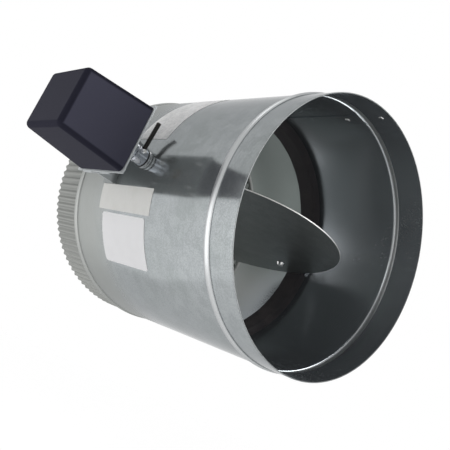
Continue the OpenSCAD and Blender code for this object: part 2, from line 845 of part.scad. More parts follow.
module motor_screws() {
    head_y = 2 * seat_gap + motor_ear_t;
    color("gainsboro") at_motor_ears() {
        translate([0, 0, -plate_t - 2 * seat_gap]) cylinder(d = motor_screw_d,
            h = plate_t + 2 * seat_gap + head_y, $fn = small_steps);
        translate([0, 0, head_y])
            cylinder(d1 = small_head_d, d2 = small_head_d * head_top_share,
                h = small_head_h, $fn = small_steps);
    }
}

module limit_switches() {
    color("#222222") for (side = [-1, 1]) {
        mid_z = side * (switch_gap + switch_h) / 2;
        slab(switch_x + switch_len / 2, mid_z, cover_y, cover_y + switch_t, switch_len, switch_h);
        translate([cam_edge(mid_z) + swing_gap, -cam_y - cam_face / 2, mid_z]) rotate([0, 90, 0])
            cylinder(d = plunger_d, h = switch_x - cam_edge(mid_z), $fn = small_steps);
    }
}

// Where the cam's rim, or its flat, lies at a height
function cam_edge(z) = shaft_x + sqrt(pow(cam_r, 2) - pow(abs(z) - plunger_d / 2, 2));

function terminal_screw_x(i) =
    terminal_x + (i - (terminal_poles - 1) / 2) * terminal_len / terminal_poles;

module terminal_block() {
    well_y = cover_y + terminal_h * terminal_well_share;
    color("#1d3d2a") difference() {
        slab(terminal_x, terminal_z, cover_y, cover_y + terminal_h, terminal_len, terminal_w);
        for (i = [0:terminal_poles - 1])
            bar(terminal_screw_x(i), terminal_z, well_y, cover_y + terminal_h + overrun,
                terminal_screw_d + 2 * seat_gap);
    }
}

module terminal_screws() {
    well_y = cover_y + terminal_h * terminal_well_share;
    head_y = cover_y + terminal_h - seat_gap;
    color("gainsboro") for (i = [0:terminal_poles - 1])
        difference() {
            bar(terminal_screw_x(i), terminal_z, well_y + seat_gap, head_y, terminal_screw_d);
            slab(terminal_screw_x(i), terminal_z, head_y - screw_slot_depth, head_y + overrun,
                screw_slot_w / 2, terminal_screw_d + overrun);
        }
}

module wire_grommet() {
    plate_top = cover_y - seat_gap;
    color("#202020") difference() {
        union() {
            bar(grommet_x, grommet_z, plate_top - bracket_t - grommet_lip, plate_top + grommet_lip,
                grommet_hole_d - 2 * touch_gap);
            bar(grommet_x, grommet_z, plate_top + touch_gap, plate_top + grommet_lip, grommet_d);
            bar(grommet_x, grommet_z, plate_top - bracket_t - grommet_lip,
                plate_top - bracket_t - touch_gap, grommet_d);
        }
        bar(grommet_x, grommet_z, plate_top - bracket_t - 2 * grommet_lip,
            plate_top + 2 * grommet_lip, grommet_bore_d);
    }
}

// A label bent round the duct; x is its middle, and angle that of its
// middle above the shaft's level on the motor side
module label(x, len_x, angle, len_arc) {
    r = duct_r + touch_gap;
    span = arc_angle(len_arc, r);
    translate([x - len_x / 2, 0, 0]) rotate([90, 0, 90]) rotate([0, 0, 180 - angle - span / 2])
        rotate_extrude(angle = span, $fn = round_steps)
            translate([r, 0]) square([label_t, len_x]);
}

narrow_label_angle = -foot_angle - arc_angle(foot_label_gap + narrow_label_h / 2, duct_r);
square_label_angle = narrow_label_angle
    - arc_angle((narrow_label_h + square_label_h) / 2 + label_gap, duct_r);

module narrow_label() {
    color("whitesmoke")
        label(shaft_x - narrow_label_back, narrow_label_len, narrow_label_angle, narrow_label_h);
}

module square_label() {
    color("white")
        label(shaft_x - square_label_back, square_label_len, square_label_angle, square_label_h);
}

module upper_label() {
    color("whitesmoke")
        label(shaft_x - upper_label_back, upper_label_len, upper_label_angle, upper_label_h);
}

duct_shell();
seam_rivets();
seal_band();
near_bushing();
far_bushing();
blade();
blade_shaft();
blade_screws();
blade_nuts();
thrust_washer();
far_washer();
retaining_clip();
coupling_collar();
coupling_nut();
collar_set_screws();
stop_rod();
mounting_bracket();
bracket_screws();
cover();
cover_screws();
output_bushing();
drive_shaft();
switch_cam();
output_gear();
idler_gear();
idler_arbor();
gear_plate();
gear_posts();
plate_screws();
motor_can();
motor_pinion();
motor_screws();
limit_switches();
terminal_block();
terminal_screws();
wire_grommet();
narrow_label();
square_label();
upper_label();
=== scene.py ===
import json
import math

import bmesh
import bpy
from mathutils import Matrix, Vector, noise as bumps


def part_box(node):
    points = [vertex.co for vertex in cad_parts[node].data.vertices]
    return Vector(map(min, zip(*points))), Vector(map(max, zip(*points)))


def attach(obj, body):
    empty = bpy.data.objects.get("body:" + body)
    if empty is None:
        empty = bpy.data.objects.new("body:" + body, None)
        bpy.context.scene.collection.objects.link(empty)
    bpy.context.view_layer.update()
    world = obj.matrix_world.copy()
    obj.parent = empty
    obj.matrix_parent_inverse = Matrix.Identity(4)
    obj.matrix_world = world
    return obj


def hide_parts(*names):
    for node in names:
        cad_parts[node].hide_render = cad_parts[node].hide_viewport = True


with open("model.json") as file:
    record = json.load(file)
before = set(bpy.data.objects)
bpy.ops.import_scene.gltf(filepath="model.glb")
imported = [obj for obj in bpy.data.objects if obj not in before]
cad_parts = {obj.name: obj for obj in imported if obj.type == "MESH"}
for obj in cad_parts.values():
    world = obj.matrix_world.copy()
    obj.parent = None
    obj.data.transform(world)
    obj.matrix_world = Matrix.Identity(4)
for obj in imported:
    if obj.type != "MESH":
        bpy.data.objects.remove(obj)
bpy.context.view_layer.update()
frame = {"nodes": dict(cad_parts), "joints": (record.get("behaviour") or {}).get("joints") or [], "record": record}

# Duct sheet: one rolled sheet of galvanised steel, 0.8 mm thick, with a plain end,
# two rolled beads and a crimped end. The zinc keeps a faint spangle and is matt toward
# the crimps. Its inner face is painted lighter than the outer as painted light, the
# beads are burnished and painted lighter as a painted highlight, and a painted shadow
# darkens the inside behind the foam.
mounts = {mount["name"]: mount for mount in frame["record"]["mounts"]}
crimped_end, open_end = mounts["crimped_end"], mounts["open_end"]
DUCT_RADIUS = crimped_end["dims"]["r_mm"] / 1000
DUCT_BORE = open_end["dims"]["r_mm"] / 1000
CRIMP_START = crimped_end["pos_m"][0] + crimped_end["dims"]["length_mm"] / 1000
ZINC = (0.262, 0.280, 0.286, 1)
ZINC_DULL = (0.236, 0.250, 0.250, 1)
ZINC_BRIGHT = (0.325, 0.345, 0.352, 1)
ZINC_CRIMPED = (0.250, 0.254, 0.243, 1)
# Painted light: the inner face of the same sheet is painted lighter than the outer.
ZINC_INSIDE_LIT = (0.305, 0.328, 0.350, 1)
ZINC_REAR = (0.272, 0.280, 0.268, 1)
# Painted shadow on the inside of the duct behind the foam.
ZINC_PAINTED_SHADOW = (0.138, 0.158, 0.150, 1)
ZINC_CUT = (0.100, 0.104, 0.104, 1)
# The bead crests are burnished, and also painted lighter as a painted highlight.
ZINC_BURNISHED_HIGHLIGHT = (0.44, 0.45, 0.455, 1)
ZINC_STAINED = (0.110, 0.150, 0.120, 1)
ZINC_EDGE_TINT = (0.64, 0.65, 0.66, 1)
SPANGLE_WARP = (0.006, 0.006, 0.006)
SPANGLE_SHARE = 0.16
STREAK_SHARE = 0.2
GRAIN_SHARE = 0.64
WORN_SHARE = 0.25
STAIN_SHARE = 0.09
CRIMPED_FROM = CRIMP_START + 0.004
CRIMPED_BY = CRIMP_START - 0.002
INSIDE_BY = DUCT_BORE + 0.0001
OUTSIDE_FROM = DUCT_RADIUS - 0.0003
RAISED_FROM = DUCT_RADIUS + 0.0002
RAISED_BY = DUCT_RADIUS + 0.0006
REARWARD_FROM = -0.165
REARWARD_BY = -0.225
SHADOW_REAR = (-0.310, -0.230)
SHADOW_FRONT = (-0.150, -0.147)
SHADOW_HEIGHT = (-0.05, 0.02)
SHADOW_LOW_SHARE = 0.15
CUT_FROM = -0.0006
CUT_BY = -0.0002


class Wire:
    """One socket of a material's nodes, usable in plain arithmetic."""

    def __init__(self, tree, socket):
        self.tree = tree
        self.socket = socket

    def node(self, kind, settings, sockets, out=0):
        """Adds any other node from its type, its settings and its sockets' values or wires."""
        made = self.tree.nodes.new("ShaderNode" + kind)
        for name, value in settings.items():
            setattr(made, name, value)
        for name, value in sockets.items():
            if isinstance(value, Wire):
                self.tree.links.new(value.socket, made.inputs[name])
            else:
                made.inputs[name].default_value = value
        return Wire(self.tree, made.outputs[out])

    def maths(self, operation, first, second):
        return self.node("Math", {"operation": operation}, {0: first, 1: second})

    def __add__(self, other):
        return self.maths("ADD", self, other)

    def __radd__(self, other):
        return self.maths("ADD", other, self)

    def __sub__(self, other):
        return self.maths("SUBTRACT", self, other)

    def __rsub__(self, other):
        return self.maths("SUBTRACT", other, self)

    def __mul__(self, other):
        return self.maths("MULTIPLY", self, other)

    def __rmul__(self, other):
        return self.maths("MULTIPLY", other, self)


def new_finish(name, settings):
    """A Principled material with its plain settings, and the wire of its Object coordinates."""
    finish = bpy.data.materials.new(name)
    finish.use_nodes = True
    tree = finish.node_tree
    for socket, value in settings.items():
        tree.nodes["Principled BSDF"].inputs[socket].default_value = value
    place = tree.nodes.new("ShaderNodeTexCoord").outputs["Object"]
    return finish, Wire(tree, place)


def connect(finish, wires):
    """Links wires to the sockets of a finish's Principled shader."""
    shader = finish.node_tree.nodes["Principled BSDF"]
    for socket, wire in wires.items():
        finish.node_tree.links.new(wire.socket, shader.inputs[socket])


def noise(place, scale, detail, stretch=(1, 1, 1)):
    """Grey noise about 0.5, finer along an axis with a larger stretch."""
    spread = place.node("Mapping", {}, {"Vector": place, "Scale": stretch})
    return spread.node("TexNoise", {}, {"Vector": spread, "Scale": scale, "Detail": detail})


def colour_mix(mask, first, second):
    """The first colour where the mask is 0, and the second where it is 1."""
    return mask.node("Mix", {"data_type": "RGBA"}, {0: mask, 6: first, 7: second}, out=2)


def ramp(value, low, high):
    """0 below low, 1 above high, and a smooth step between."""
    return value.node("MapRange", {"interpolation_type": "SMOOTHSTEP"},
                      {"Value": value, "From Min": low, "From Max": high})


def relief(height, strength, distance):
    """A Normal that is bumped by the height."""
    return height.node("Bump", {}, {"Height": height, "Strength": strength, "Distance": distance})


def galvanised(name, colours, roughness, spangle_scale=110, patches=()):
    """Zinc coated sheet: spangle crystals, rolling streaks, grain, wear and stains.

    Each patch is a function from the place to a mask, with the colour, the strength
    and the added roughness there. A later patch covers an earlier one."""
    plain, dull, bright = colours
    finish, place = new_finish(name, {"Metallic": 0.8, "Specular Tint": ZINC_EDGE_TINT})
    warp = noise(place, scale=60, detail=3)
    bent = place.node("VectorMath", {"operation": "MULTIPLY_ADD"},
                      {0: warp, 1: SPANGLE_WARP, 2: place})
    crystal = place.node("TexVoronoi", {"feature": "SMOOTH_F1"},
                         {"Vector": bent, "Scale": spangle_scale, "Smoothness": 0.4}, out="Color")
    crystal = crystal.node("SeparateColor", {}, {"Color": crystal})
    worn = ramp(noise(place, scale=9, detail=4), 0.35, 0.7)
    stain = ramp(noise(place, scale=26, detail=3), 0.46, 0.66)
    streak = noise(place, scale=24, detail=3, stretch=(16, 1, 1))
    grain = noise(place, scale=700, detail=2)
    sparkle = crystal * SPANGLE_SHARE + streak * STREAK_SHARE + grain * GRAIN_SHARE
    tone = colour_mix(ramp(sparkle, 0.34, 0.66), plain, bright)
    tone = colour_mix(worn * WORN_SHARE, tone, dull)
    tone = colour_mix(stain * STAIN_SHARE, tone, ZINC_STAINED)
    rough = roughness + crystal * 0.01 + worn * 0.02 + (grain - 0.5) * 0.1
    for mask_of, colour, strength, roughening in patches:
        mask = mask_of(place) * strength
        tone = colour_mix(mask, tone, colour)
        rough = rough + mask * roughening
    height = crystal * 0.05 + streak * 0.3 + grain * 0.3
    connect(finish, {
        "Base Color": tone,
        "Roughness": rough,
        "Normal": relief(height, strength=0.06, distance=0.0003),
    })
    return finish


def part_of(place, axis):
    """The place's X, Y or Z."""
    return place.node("SeparateXYZ", {}, {"Vector": place}, out=axis)


def crimped(place):
    """1 on the crimped end."""
    return 1 - ramp(part_of(place, "X"), CRIMPED_BY, CRIMPED_FROM)


def rearward(place):
    """1 near the rear bead, fading toward the middle of the duct."""
    return 1 - ramp(part_of(place, "X"), REARWARD_BY, REARWARD_FROM)


def from_axis(place):
    """Distance from the duct's axis."""
    across, up = part_of(place, "Y"), part_of(place, "Z")
    return across.maths("POWER", across * across + up * up, 0.5)


def inside(place):
    """1 on the sheet's inner face."""
    return 1 - ramp(from_axis(place), INSIDE_BY, OUTSIDE_FROM)


def shadow_behind_seal(place):
    """1 inside the duct behind the foam, where a painted shadow falls, and less below the shaft."""
    along = part_of(place, "X")
    stretch = ramp(along, *SHADOW_REAR) * (1 - ramp(along, *SHADOW_FRONT))
    height = ramp(part_of(place, "Z"), *SHADOW_HEIGHT)
    share = SHADOW_LOW_SHARE + (1 - SHADOW_LOW_SHARE) * height
    return inside(place) * stretch * share


def raised(place):
    """1 on the rolled beads."""
    return ramp(from_axis(place), RAISED_FROM, RAISED_BY)


def cut_end(place):
    """1 on the cut edge of the open end."""
    return ramp(part_of(place, "X"), CUT_FROM, CUT_BY)


def dress(node, finish):
    """Gives a CAD node its finish."""
    for place in frame["nodes"][node].material_slots:
        place.material = finish


DUCT_PATCHES = [
    (inside, ZINC_INSIDE_LIT, 0.9, 0.10),
    (raised, ZINC_BURNISHED_HIGHLIGHT, 0.9, 0.19),
    (rearward, ZINC_REAR, 0.8, 0.28),
    (crimped, ZINC_CRIMPED, 0.9, 0.16),
    (shadow_behind_seal, ZINC_PAINTED_SHADOW, 0.95, 0.1),
    (cut_end, ZINC_CUT, 0.9, 0.3),
]
dress("duct_shell", galvanised("duct_zinc", (ZINC, ZINC_DULL, ZINC_BRIGHT), roughness=0.145,
                               patches=DUCT_PATCHES))

# Seam rivets: two soft steel rivets through the lap of the sheet, with a low
# domed head on each side. The rear one goes through the lap's second thickness.
RIVET_STEEL = (0.62, 0.63, 0.63, 1)
RIVET_WORN = (0.22, 0.22, 0.21, 1)
RIVET_HEAD = 0.0024
RIVET_SHANK = 0.0014
RIVET_DOME = 0.0009
RIVET_SUNK = 0.00005
RIVET_PROUD = 0.00015
RIVET_STEPS = 32
LAP_BORE = DUCT_BORE - (DUCT_RADIUS - DUCT_BORE)
RIVETS = [(-0.012, DUCT_BORE), (-0.051, LAP_BORE)]


def steel(name, plain, worn, roughness, scale=260, wear=0.6):
    """Bare or plated steel with a fine turned grain and darker specks of handling."""
    finish, place = new_finish(name, {"Metallic": 1.0})
    grain = noise(place, scale, detail=4, stretch=(1, 6, 1))
    specks = ramp(noise(place, scale * 1.8, detail=3), 0.5, 0.72)
    connect(finish, {
        "Base Color": colour_mix(specks * wear, plain, worn),
        "Roughness": roughness + specks * (0.3 * wear) + (grain - 0.5) * (0.2 * wear),
        "Normal": relief(grain, strength=0.25 * wear, distance=0.0002),
    })
    return finish


def turned(outline, start, axis, across, steps=48, shape=None):
    """A solid or ring of revolution from corners given as (distance along the axis, radius).

    An outline that begins on the axis ends there; any other is closed into a ring."""
    shape = shape or bmesh.new()
    start, axis, across = Vector(start), Vector(axis), Vector(across)
    corners = [shape.verts.new(start + axis * along + across * radius)
               for along, radius in outline]
    pairs = list(zip(corners, corners[1:]))
    if outline[0][1] > 0:
        pairs.append((corners[-1], corners[0]))
    edges = [shape.edges.new(pair) for pair in pairs]
    bmesh.ops.spin(shape, geom=corners + edges, cent=start, axis=axis, dvec=(0, 0, 0),
                   angle=2 * math.pi, steps=steps, use_merge=True, use_duplicate=False)
    bmesh.ops.remove_doubles(shape, verts=shape.verts, dist=1e-7)
    bmesh.ops.dissolve_degenerate(shape, dist=1e-7, edges=shape.edges)
    bmesh.ops.recalc_face_normals(shape, faces=shape.faces)
    return shape


def piece(name, shape, finish, crease=35):
    """A new object from a finished shape, smooth but for edges sharper than the crease."""
    mesh = bpy.data.meshes.new(name)
    shape.to_mesh(mesh)
    shape.free()
    mesh.shade_smooth()
    mesh.set_sharp_from_angle(angle=math.radians(crease))
    mesh.materials.append(finish)
    made = bpy.data.objects.new(name, mesh)
    bpy.context.scene.collection.objects.link(made)
    return made


def quarter_turn(steps):
    """Angles from 0 to 90 degrees."""
    return [math.pi / 2 * step / steps for step in range(steps + 1)]


def dome(base, top, radius, steps=6):
    """Outline of a low domed head from its crown on the axis out to its rim."""
    return [(top + (base - top) * (1 - math.cos(turn)), radius * math.sin(turn))
            for turn in quarter_turn(steps)]


rivet_shape = bmesh.new()
for rivet_x, bore in RIVETS:
    low, high = bore - RIVET_SUNK, DUCT_RADIUS + RIVET_PROUD
    inner = dome(low, bore - RIVET_DOME, RIVET_HEAD)
    shank = [(low, RIVET_SHANK), (high, RIVET_SHANK)]
    outer = dome(high, high + RIVET_DOME, RIVET_HEAD)
    turned(inner + shank + outer[::-1], (rivet_x, 0, 0), (0, 0, 1), (1, 0, 0),
           RIVET_STEPS, rivet_shape)
rivet_steel = steel("rivet_steel", RIVET_STEEL, RIVET_WORN, roughness=0.2)
rivets = piece("rivets", rivet_shape, rivet_steel)
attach(rivets, "housing")
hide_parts("seam_rivets")

# Seal band: a strip of closed-cell foam rubber glued round the inside of the
# duct, cut out round the shaft and its bushings. The shut blade presses its edge
# into it. Its corners have pulled round, and cut cells leave it dull and pitted.
joints = {joint["name"]: joint for joint in frame["joints"]}
SHAFT_X = joints["blade_turn"]["pos_m"][0]
FOAM = (0.051, 0.047, 0.050, 1)
FOAM_DUSTY = (0.092, 0.080, 0.079, 1)
SEAL_THICK = 0.0094
GLUE_GAP = 0.00008
SEAL_OUTER = DUCT_BORE - GLUE_GAP
SEAL_INNER = DUCT_BORE - SEAL_THICK
SEAL_SET_BACK = 0.0038
SEAL_TRIM = 0.0002
seal_low, seal_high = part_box("seal_band")
SEAL_REAR = seal_low.x + SEAL_TRIM
SEAL_FRONT = seal_high.x - SEAL_SET_BACK
SEAL_ROUND = 0.0024
SEAL_CRISP = 0.0006
SEAL_CORNER_STEPS = 5
SEAL_FACE_STEPS = 14
SEAL_STEPS = 260
SEAL_RIPPLE = 0.00035
SEAL_RIPPLE_SCALE = 70
GLUED_DEPTH = 0.001
SHAFT_CLEAR = 0.0003
BUSH_CLEAR = 0.001
shaft_low, shaft_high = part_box("blade_shaft")
bush_low, bush_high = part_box("near_bushing")
SHAFT_CUT = (shaft_high.x - shaft_low.x) / 2 + SHAFT_CLEAR
BUSH_CUT = (bush_high.x - bush_low.x) / 2 + BUSH_CLEAR
BUSH_CUT_FROM = 0.1235
BUSH_CUT_TO = 0.130
BUSH_CUT_STEPS = 64
FOAM_LOW = (0.0, -0.11)

foam, foam_place = new_finish("seal_foam", {"Metallic": 0.0, "Specular IOR Level": 0.25})
foam_cells = foam_place.node("TexVoronoi", {"feature": "F1"},
                             {"Vector": foam_place, "Scale": 900.0})
foam_dust = ramp(noise(foam_place, scale=45, detail=5), 0.42, 0.75)
foam_low = ramp(part_of(foam_place, "Z"), *FOAM_LOW)
foam_dents = noise(foam_place, scale=160, detail=3)
connect(foam, {
    "Base Color": colour_mix(foam_dust * (0.35 + 0.5 * foam_low), FOAM, FOAM_DUSTY),
    "Roughness": 0.84 + foam_dust * 0.12,
    "Normal": relief(foam_cells + 0.6 * foam_dents, strength=0.6, distance=0.0006),
})


def face_run(first, last, count):
    """Points between two outline points, so that the face between them can ripple."""
    return [tuple(a + (b - a) * step / count for a, b in zip(first, last))
            for step in range(1, count)]


front_corner = [(SEAL_FRONT - SEAL_ROUND * (1 - math.cos(turn)),
                 SEAL_INNER + SEAL_ROUND * (1 - math.sin(turn)))
                for turn in quarter_turn(SEAL_CORNER_STEPS)]
rear_corner = [(SEAL_REAR + SEAL_CRISP * (1 - math.sin(turn)),
                SEAL_INNER + SEAL_CRISP * (1 - math.cos(turn)))
               for turn in quarter_turn(SEAL_CORNER_STEPS)]
seal_outline = ([(SEAL_FRONT, SEAL_OUTER)] + front_corner
                + face_run(front_corner[-1], rear_corner[0], SEAL_FACE_STEPS)
                + rear_corner + [(SEAL_REAR, SEAL_OUTER)])
seal_shape = turned(seal_outline, (0, 0, 0), (1, 0, 0), (0, 0, 1), SEAL_STEPS)
for vert in seal_shape.verts:
    reach = math.hypot(vert.co.y, vert.co.z)
    if reach < SEAL_OUTER - GLUED_DEPTH:
        push = 1 + SEAL_RIPPLE * (0.5 + bumps.noise(vert.co * SEAL_RIPPLE_SCALE)) / reach
        vert.co.y, vert.co.z = vert.co.y * push, vert.co.z * push
seal = piece("foam_seal", seal_shape, foam, crease=50)
far_side = [(BUSH_CUT_TO, 0.0), (BUSH_CUT_TO, BUSH_CUT),
            (BUSH_CUT_FROM, BUSH_CUT), (BUSH_CUT_FROM, SHAFT_CUT)]
near_side = [(-along, radius) for along, radius in far_side]
cutter_shape = turned(near_side + far_side[::-1], (SHAFT_X, 0, 0), (0, 1, 0), (0, 0, 1),
                      BUSH_CUT_STEPS)
shaft_cutter = piece("shaft_cutter", cutter_shape, foam)
cut = seal.modifiers.new("shaft_cut", "BOOLEAN")
cut.object, cut.operation, cut.solver = shaft_cutter, "DIFFERENCE", "EXACT"
bpy.context.view_layer.update()
cut_seal = seal.evaluated_get(bpy.context.evaluated_depsgraph_get())
cut_mesh = bpy.data.meshes.new_from_object(cut_seal)
seal.modifiers.clear()
seal.data = cut_mesh
bpy.data.objects.remove(shaft_cutter)
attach(seal, "housing")
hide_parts("seal_band")

# Shaft bushings: two flanged bushes of plated steel pressed into the wall,
# one on each side, which carry the blade shaft.
PLATED = (0.52, 0.53, 0.54, 1)
PLATED_WORN = (0.30, 0.30, 0.30, 1)
plated_steel = steel("plated_steel", PLATED, PLATED_WORN, roughness=0.22)
dress("near_bushing", plated_steel)
dress("far_bushing", plated_steel)

# Blade: a round disc of galvanised sheet, screwed flat to the shaft. It is
# stored almost open. Its thin sheared edge is painted bright as a painted highlight.
BLADE_ZINC = (0.300, 0.320, 0.318, 1)
BLADE_DULL = (0.235, 0.252, 0.250, 1)
BLADE_BRIGHT = (0.385, 0.410, 0.405, 1)
# Painted highlight on the blade's sheared edge.
EDGE_HIGHLIGHT = (0.42, 0.42, 0.41, 1)
blade_low, blade_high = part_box("blade")
BLADE_CENTRE = (blade_low + blade_high) / 2
BLADE_RADIUS = blade_high.y
SHEARED_FROM = BLADE_RADIUS - 0.0003
SHEARED_BY = BLADE_RADIUS - 0.0001


def away_from(place, point):
    """The vector from a point."""
    return place.node("VectorMath", {"operation": "SUBTRACT"}, {0: place, 1: point})


def length_of(way):
    """How long a vector is."""
    return way.node("VectorMath", {"operation": "LENGTH"}, {0: way}, out="Value")


def sheared(place):
    """1 on the disc's cut edge, by the distance from its centre."""
    return ramp(length_of(away_from(place, BLADE_CENTRE)), SHEARED_FROM, SHEARED_BY)


dress("blade", galvanised("blade_zinc", (BLADE_ZINC, BLADE_DULL, BLADE_BRIGHT), roughness=0.38,
                          patches=[(sheared, EDGE_HIGHLIGHT, 1.0, 0.1)]))

# Blade shaft: a 12 mm bar of bright drawn steel through both bushings. The
# blade is screwed under it and the coupling grips its end.
SHAFT_STEEL = (0.46, 0.46, 0.45, 1)
SHAFT_WORN = (0.26, 0.25, 0.24, 1)
shaft_steel = steel("shaft_steel", SHAFT_STEEL, SHAFT_WORN, roughness=0.28)
dress("blade_shaft", shaft_steel)

# Blade screws and nuts: two slotted pan head screws of zinc plated steel, with
# hexagon nuts, which clamp the blade to the shaft.
SCREW_ZINC = (0.78, 0.78, 0.77, 1)
SCREW_WORN = (0.30, 0.29, 0.27, 1)
screw_zinc = steel("screw_zinc", SCREW_ZINC, SCREW_WORN, roughness=0.24, scale=500)
dress("blade_screws", screw_zinc)
dress("blade_nuts", screw_zinc)

# Washers and clip: a shouldered washer outside the near bushing, a plain one on
# the far side, and a spring ring of black steel in the shaft's groove there.
# Outlines on the near side are (distance toward the motor, radius).
NEAR_SIDE = ((SHAFT_X, 0, 0), (0, -1, 0), (0, 0, 1))
WASHER_OUTLINE = [(0.1277, 0.0061), (0.1277, 0.0085), (0.1280, 0.0089), (0.1286, 0.0089),
                  (0.1289, 0.0083), (0.1302, 0.0083), (0.1302, 0.0061)]
BLACK_STEEL = (0.018, 0.018, 0.019, 1)
BLACK_WORN = (0.055, 0.052, 0.050, 1)
near_washer = piece("near_washer", turned(WASHER_OUTLINE, *NEAR_SIDE), plated_steel)
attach(near_washer, "blade_assembly")
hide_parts("thrust_washer")
dress("far_washer", plated_steel)
black_steel = steel("black_steel", BLACK_STEEL, BLACK_WORN, roughness=0.42)
dress("retaining_clip", black_steel)

# Coupling: a turned and chromed collar that joins the blade shaft to the motor's
# shaft, with a black ring at its foot that stands in for the shadow in the gap there,
# and a turned groove near its other end. Two set screws and a hexagon nut lock it.
CHROME = (0.40, 0.415, 0.45, 1)
CHROME_WORN = (0.26, 0.27, 0.30, 1)
SHADOW_RING_BLACK = (0.016, 0.016, 0.017, 1)
SHADOW_RING_TONE = (0.028, 0.028, 0.028, 1)
RING_OUTLINE = [(0.1303, 0.0062), (0.1303, 0.0084), (0.1306, 0.0087), (0.1311, 0.0087),
                (0.1314, 0.0084), (0.1314, 0.0062)]
COLLAR_OUTLINE = [(0.1315, 0.0061), (0.1315, 0.0078), (0.1319, 0.00825), (0.1405, 0.00825),
                  (0.1407, 0.0080), (0.1412, 0.0080), (0.1414, 0.00825), (0.1434, 0.00825),
                  (0.1440, 0.0076), (0.1440, 0.0051), (0.1400, 0.0051), (0.1400, 0.0061)]
COLLAR_STEPS = 64
nut_low, nut_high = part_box("coupling_nut")
NUT_CORNER_RADIUS = nut_high.z / math.cos(math.pi / 6)
NUT_LENGTH = nut_high.y - nut_low.y
NUT_MIDDLE = (SHAFT_X, (nut_low.y + nut_high.y) / 2, 0)
NUT_CHAMFER = 0.0007

chrome = steel("collar_chrome", CHROME, CHROME_WORN, roughness=0.07, scale=320, wear=0.15)
collar = piece("collar", turned(COLLAR_OUTLINE, *NEAR_SIDE, COLLAR_STEPS), chrome)
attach(collar, "blade_assembly")
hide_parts("coupling_collar")


def moulded(name, plain, shade, roughness, bump=0.25, scale=420, bending=1.5, patches=()):
    """Moulded plastic or rubber: a fine spark texture, slight flow marks and a matt skin.

    Each patch is a function from the place to a mask, with the colour there. A lower
    bending of light cuts the shine at grazing angles."""
    finish, place = new_finish(name, {"Metallic": 0.0, "Specular IOR Level": 0.3, "IOR": bending})
    texture = noise(place, scale, detail=3)
    flow = ramp(noise(place, scale=22, detail=4), 0.35, 0.7)
    tone = colour_mix(flow * 0.6, plain, shade)
    for mask_of, colour in patches:
        tone = colour_mix(mask_of(place), tone, colour)
    connect(finish, {
        "Base Color": tone,
        "Roughness": roughness + flow * 0.06 + (texture - 0.5) * 0.12,
        "Normal": relief(texture, bump, distance=0.0003),
    })
    return finish


# The ring's black is a painted shadow of the gap at the collar's foot, made as a black rubber ring.
rubber = moulded("ring_rubber", SHADOW_RING_BLACK, SHADOW_RING_TONE, roughness=0.6)
shadow_ring = piece("shadow_ring", turned(RING_OUTLINE, *NEAR_SIDE), rubber)
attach(shadow_ring, "blade_assembly")

nut_shape = bmesh.new()
bmesh.ops.create_cone(nut_shape, cap_ends=True, segments=6, depth=NUT_LENGTH,
                      radius1=NUT_CORNER_RADIUS, radius2=NUT_CORNER_RADIUS)
bmesh.ops.bevel(nut_shape, geom=nut_shape.edges[:], affect="EDGES", offset=NUT_CHAMFER,
                segments=3, profile=0.5, material=-1)
bmesh.ops.rotate(nut_shape, verts=nut_shape.verts, cent=(0, 0, 0),
                 matrix=Matrix.Rotation(math.pi / 2, 3, "X"))
bmesh.ops.translate(nut_shape, verts=nut_shape.verts, vec=NUT_MIDDLE)
nut = piece("nut", nut_shape, chrome)
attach(nut, "blade_assembly")
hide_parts("coupling_nut")
dress("collar_set_screws", screw_zinc)

# Stop rod: a length of black threaded rod screwed into the collar. It shows
# how far the blade is turned and is what a hand would turn it by.
rod_low, rod_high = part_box("stop_rod")
ROD_FOOT = (SHAFT_X, (rod_low.y + rod_high.y) / 2, 0)
ROD_ANGLE = math.radians(83)
ROD_START = 0.0061
ROD_END = 0.0360
ROD_CREST = (rod_high.y - rod_low.y) / 2
THREAD_DEPTH = 0.0004
ROD_CORE = ROD_CREST - THREAD_DEPTH
ROD_CHAMFER = 0.0005
ROD_STEPS = 24
ROD_OUTLINE = [(ROD_START, 0), (ROD_START, ROD_CORE), (ROD_END - ROD_CHAMFER, ROD_CORE),
               (ROD_END, ROD_CORE - ROD_CHAMFER), (ROD_END, 0)]
ROD_CREST_WEAR_AND_GLINT = (0.060, 0.056, 0.048, 1)
THREAD_GAP = 0.0004
THREAD_ROOT = ROD_CORE - 0.0001
THREAD_SHINE_FROM = ROD_CORE + 0.0001
THREAD_PITCH = 0.00106
THREAD_STEPS = 16
THREAD_TURNS = 27
RIDGE = [(0.0, THREAD_ROOT), (0.36, ROD_CREST), (0.54, ROD_CREST), (0.90, THREAD_ROOT)]

rod_way = Vector((math.cos(ROD_ANGLE), 0, math.sin(ROD_ANGLE)))
rod_shape = turned(ROD_OUTLINE, ROD_FOOT, rod_way, (0, 1, 0), ROD_STEPS)
thread_from = Vector(ROD_FOOT) + rod_way * (ROD_START + THREAD_GAP)
ridge = [rod_shape.verts.new(thread_from + rod_way * (turns * THREAD_PITCH)
                             + Vector((0, radius, 0)))
         for turns, radius in RIDGE]
ridge_edges = [rod_shape.edges.new(pair) for pair in zip(ridge, ridge[1:] + ridge[:1])]
bmesh.ops.contextual_create(rod_shape, geom=ridge_edges)
wound = bmesh.ops.spin(rod_shape, geom=ridge + ridge_edges, cent=ROD_FOOT, axis=rod_way,
                       dvec=rod_way * THREAD_PITCH / THREAD_STEPS,
                       angle=2 * math.pi * THREAD_TURNS, steps=THREAD_STEPS * THREAD_TURNS,
                       use_merge=False, use_duplicate=False)
last_edges = [part for part in wound["geom_last"] if isinstance(part, bmesh.types.BMEdge)]
bmesh.ops.contextual_create(rod_shape, geom=last_edges)
bmesh.ops.recalc_face_normals(rod_shape, faces=rod_shape.faces)

